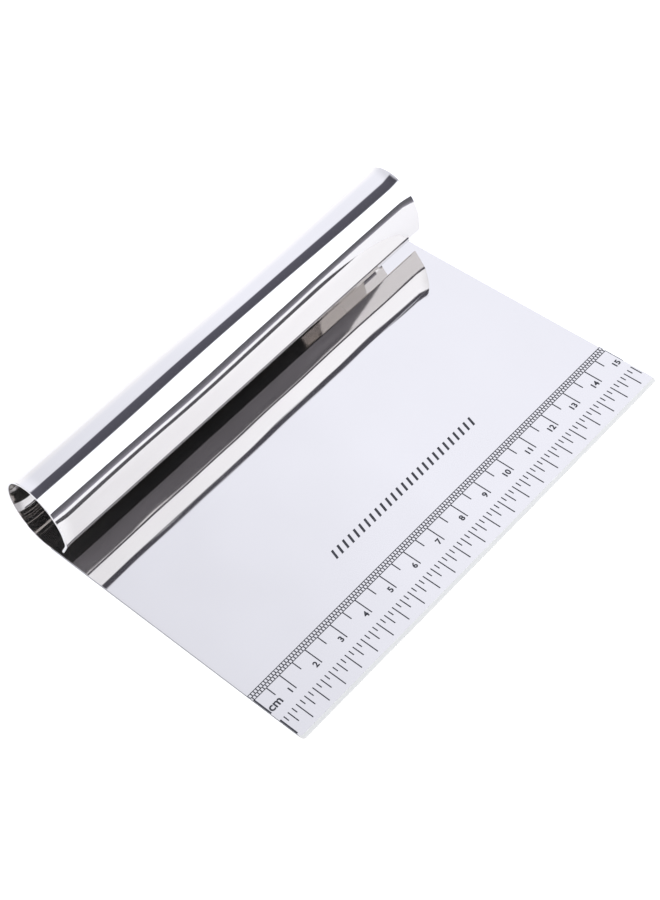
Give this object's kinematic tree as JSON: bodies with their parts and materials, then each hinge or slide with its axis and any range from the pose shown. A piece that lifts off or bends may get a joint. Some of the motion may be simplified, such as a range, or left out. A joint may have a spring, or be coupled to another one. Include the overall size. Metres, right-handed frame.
{
  "type": "bench scraper",
  "caption": "Bench scraper for dough: a flat polished steel blade with a printed centimetre scale, its top edge rolled into a hollow grip.",
  "frame": {"origin": "middle of the footprint, on the surface that the scraper lies on, printed face up", "axes": "+X along the working edge, +Y from the working edge towards the rolled grip, +Z out of the printed face"},
  "size_m": [0.15, 0.113, 0.0287],
  "materials": {
    "polished_steel": "mirror-polished stainless steel with faint hairline wipe marks",
    "scale_print": "black scale print, matt, a few hundredths of a millimetre thick"
  },
  "bodies": {
    "root": {"blade": "polished_steel", "rolled_grip": "polished_steel", "centimetre_scale": "scale_print", "millimetre_band": "scale_print"}
  },
  "joints": []
}
